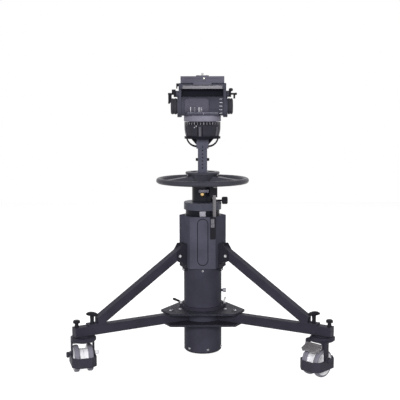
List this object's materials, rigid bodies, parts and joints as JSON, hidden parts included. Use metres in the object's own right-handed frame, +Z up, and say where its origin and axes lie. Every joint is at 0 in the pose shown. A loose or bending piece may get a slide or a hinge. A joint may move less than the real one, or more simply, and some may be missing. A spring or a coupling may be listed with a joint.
{
  "type": "camera pedestal",
  "caption": "Studio camera pedestal: rising column with steering ring on braced arms with twin-wheel casters, and a fluid pan and tilt head with a camera plate.",
  "frame": {"origin": "centre of the bounding box's footprint, on the floor under the wheels", "axes": "+Z up, -Y the front with the head's panel, +X the right-hand side seen from the front"},
  "size_m": [0.986, 0.9304, 1.1],
  "materials": {
    "black_paint": "satin",
    "black_aluminium": "satin",
    "grey_paint": "satin",
    "bare_aluminium": "satin",
    "brass": "polished",
    "tyre_rubber": "matte",
    "white_hub": "gloss",
    "zinc_steel": "brushed",
    "black_plastic": "matte"
  },
  "bodies": {
    "base": {"column_tube": "black_aluminium", "column_cap": "black_plastic", "body_screws": "zinc_steel", "frame_bolts": "zinc_steel", "base_plate_lower": "black_aluminium", "base_plate_upper": "black_aluminium", "arm_1": "black_paint", "arm_2": "black_paint", "arm_3": "black_paint", "brace_1": "black_paint", "brace_2": "black_paint", "brace_3": "black_paint", "brace_brackets": "black_paint", "tube_ring": "black_aluminium", "sleeve": "black_aluminium", "collar": "black_aluminium", "scale_block": "black_plastic"},
    "lift": {"inner_column": "black_aluminium", "air_valve": "brass", "height_scale": "bare_aluminium", "steering_ring": "black_aluminium", "neck_post": "grey_paint", "cross_pin": "zinc_steel", "bowl_ring": "black_aluminium", "half_ball": "black_aluminium"},
    "pan": {"pan_base": "bare_aluminium", "tilt_drum": "black_aluminium"},
    "pan_drag": {"pan_drag_ring": "black_plastic"},
    "tilt": {"tilt_frame": "black_aluminium"},
    "plate": {"camera_plate": "black_aluminium"},
    "plate_screw": {"camera_screw": "zinc_steel"},
    "plate_release": {"plate_lever": "black_plastic"},
    "left_tilt_drag": {"tilt_drag_knob_left": "black_plastic"},
    "right_tilt_drag": {"tilt_drag_knob_right": "black_plastic"},
    "left_bar_clamp": {"bar_clamp_left": "black_plastic"},
    "right_bar_clamp": {"bar_clamp_right": "black_plastic"},
    "column_brake": {"column_brake_knob": "black_plastic"},
    "left_ring_lever": {"ring_lever_left": "zinc_steel"},
    "right_ring_lever": {"ring_lever_right": "zinc_steel"},
    "caster_1": {"caster_fork_1": "black_paint", "caster_guard_1": "black_plastic"},
    "wheels_1": {"caster_tyres_1": "tyre_rubber", "caster_hubs_1": "white_hub"},
    "brake_1": {"brake_pedal_1": "zinc_steel"},
    "foot_clamp_1": {"tee_knob_1": "black_plastic"},
    "direction_lock_1": {"lock_knob_1": "black_plastic"},
    "caster_2": {"caster_fork_2": "black_paint", "caster_guard_2": "black_plastic"},
    "wheels_2": {"caster_tyres_2": "tyre_rubber", "caster_hubs_2": "white_hub"},
    "brake_2": {"brake_pedal_2": "zinc_steel"},
    "foot_clamp_2": {"tee_knob_2": "black_plastic"},
    "direction_lock_2": {"lock_knob_2": "black_plastic"},
    "caster_3": {"caster_fork_3": "black_paint", "caster_guard_3": "black_plastic"},
    "wheels_3": {"caster_tyres_3": "tyre_rubber", "caster_hubs_3": "white_hub"},
    "brake_3": {"brake_pedal_3": "zinc_steel"},
    "foot_clamp_3": {"tee_knob_3": "black_plastic"},
    "direction_lock_3": {"lock_knob_3": "black_plastic"}
  },
  "joints": [
    {"name": "column_lift", "type": "slide", "parent": "base", "child": "lift", "axis": [0, 0, 1], "range_m": [0, 0.18]},
    {"name": "head_pan", "type": "hinge", "parent": "lift", "child": "pan", "pos_m": [0.01184, -0.13076, 0.926], "axis": [0, 0, 1], "continuous": true},
    {"name": "pan_drag_adjust", "type": "hinge", "parent": "pan", "child": "pan_drag", "pos_m": [0.01184, -0.13076, 0.908], "axis": [0, 0, 1], "range_deg": [-150, 150]},
    {"name": "head_tilt", "type": "hinge", "parent": "pan", "child": "tilt", "pos_m": [0.01184, -0.13076, 0.974], "axis": [1, 0, 0], "range_deg": [-70, 70]},
    {"name": "camera_plate_slide", "type": "slide", "parent": "tilt", "child": "plate", "axis": [0, 1, 0], "range_m": [-0.05, 0.05]},
    {"name": "camera_screw_turn", "type": "hinge", "parent": "plate", "child": "plate_screw", "pos_m": [0.01184, -0.13076, 1.08], "axis": [0, 0, 1], "range_deg": [-180, 180]},
    {"name": "plate_lever_turn", "type": "hinge", "parent": "tilt", "child": "plate_release", "pos_m": [-0.08216, -0.17276, 1.054], "axis": [1, 0, 0], "range_deg": [0, 40]},
    {"name": "left_tilt_drag_adjust", "type": "hinge", "parent": "pan", "child": "left_tilt_drag", "pos_m": [-0.09416, -0.13076, 0.974], "axis": [1, 0, 0], "range_deg": [-150, 150]},
    {"name": "right_tilt_drag_adjust", "type": "hinge", "parent": "pan", "child": "right_tilt_drag", "pos_m": [0.11785, -0.13076, 0.974], "axis": [1, 0, 0], "range_deg": [-150, 150]},
    {"name": "left_bar_clamp_turn", "type": "hinge", "parent": "tilt", "child": "left_bar_clamp", "pos_m": [-0.09316, -0.14076, 1.021], "axis": [1, 0, 0], "range_deg": [-40, 40]},
    {"name": "right_bar_clamp_turn", "type": "hinge", "parent": "tilt", "child": "right_bar_clamp", "pos_m": [0.11685, -0.14076, 1.021], "axis": [1, 0, 0], "range_deg": [-40, 40]},
    {"name": "column_brake_turn", "type": "hinge", "parent": "base", "child": "column_brake", "pos_m": [0.09184, -0.13076, 0.609], "axis": [1, 0, 0], "range_deg": [-90, 90]},
    {"name": "left_ring_lever_turn", "type": "hinge", "parent": "base", "child": "left_ring_lever", "pos_m": [-0.07115, -0.13076, 0.2], "axis": [0, 0, 1], "range_deg": [-45, 45]},
    {"name": "right_ring_lever_turn", "type": "hinge", "parent": "base", "child": "right_ring_lever", "pos_m": [0.09484, -0.13076, 0.2], "axis": [0, 0, 1], "range_deg": [-45, 12]},
    {"name": "caster_swivel_1", "type": "hinge", "parent": "base", "child": "caster_1", "pos_m": [-0.42377, -0.38226, 0.15], "axis": [0, 0, 1], "continuous": true},
    {"name": "wheels_roll_1", "type": "hinge", "parent": "caster_1", "child": "wheels_1", "pos_m": [-0.43312, -0.35166, 0.05], "axis": [-0.9563, -0.2924, 0], "continuous": true},
    {"name": "brake_pedal_press_1", "type": "hinge", "parent": "caster_1", "child": "brake_1", "pos_m": [-0.4378, -0.33636, 0.114], "axis": [-0.9563, -0.2924, 0], "range_deg": [0, 12]},
    {"name": "foot_clamp_turn_1", "type": "hinge", "parent": "base", "child": "foot_clamp_1", "pos_m": [-0.39432, -0.36526, 0.2], "axis": [0, 0, 1], "range_deg": [-180, 180]},
    {"name": "direction_lock_pull_1", "type": "slide", "parent": "base", "child": "direction_lock_1", "axis": [0, 0, 1], "range_m": [0, 0.008], "stiffness_N_per_m": 300, "springref_m": -0.004},
    {"name": "caster_swivel_2", "type": "hinge", "parent": "base", "child": "caster_2", "pos_m": [0.44746, -0.38226, 0.15], "axis": [0, 0, 1], "continuous": true},
    {"name": "wheels_roll_2", "type": "hinge", "parent": "caster_2", "child": "wheels_2", "pos_m": [0.42483, -0.40489, 0.05], "axis": [0.7071, -0.7071, 0], "continuous": true},
    {"name": "brake_pedal_press_2", "type": "hinge", "parent": "caster_2", "child": "brake_2", "pos_m": [0.41352, -0.4162, 0.114], "axis": [0.7071, -0.7071, 0], "range_deg": [0, 12]},
    {"name": "foot_clamp_turn_2", "type": "hinge", "parent": "base", "child": "foot_clamp_2", "pos_m": [0.41801, -0.36526, 0.2], "axis": [0, 0, 1], "range_deg": [-180, 180]},
    {"name": "direction_lock_pull_2", "type": "slide", "parent": "base", "child": "direction_lock_2", "axis": [0, 0, 1], "range_m": [0, 0.008], "stiffness_N_per_m": 300, "springref_m": -0.004},
    {"name": "caster_swivel_3", "type": "hinge", "parent": "base", "child": "caster_3", "pos_m": [0.01184, 0.37224, 0.15], "axis": [0, 0, 1], "continuous": true},
    {"name": "wheels_roll_3", "type": "hinge", "parent": "caster_3", "child": "wheels_3", "pos_m": [0.02687, 0.40049, 0.05], "axis": [-0.8829, 0.4695, 0], "continuous": true},
    {"name": "brake_pedal_press_3", "type": "hinge", "parent": "caster_3", "child": "brake_3", "pos_m": [0.03438, 0.41462, 0.114], "axis": [-0.8829, 0.4695, 0], "range_deg": [0, 12]},
    {"name": "foot_clamp_turn_3", "type": "hinge", "parent": "base", "child": "foot_clamp_3", "pos_m": [0.01184, 0.33824, 0.2], "axis": [0, 0, 1], "range_deg": [-180, 180]},
    {"name": "direction_lock_pull_3", "type": "slide", "parent": "base", "child": "direction_lock_3", "axis": [0, 0, 1], "range_m": [0, 0.008], "stiffness_N_per_m": 300, "springref_m": -0.004}
  ]
}
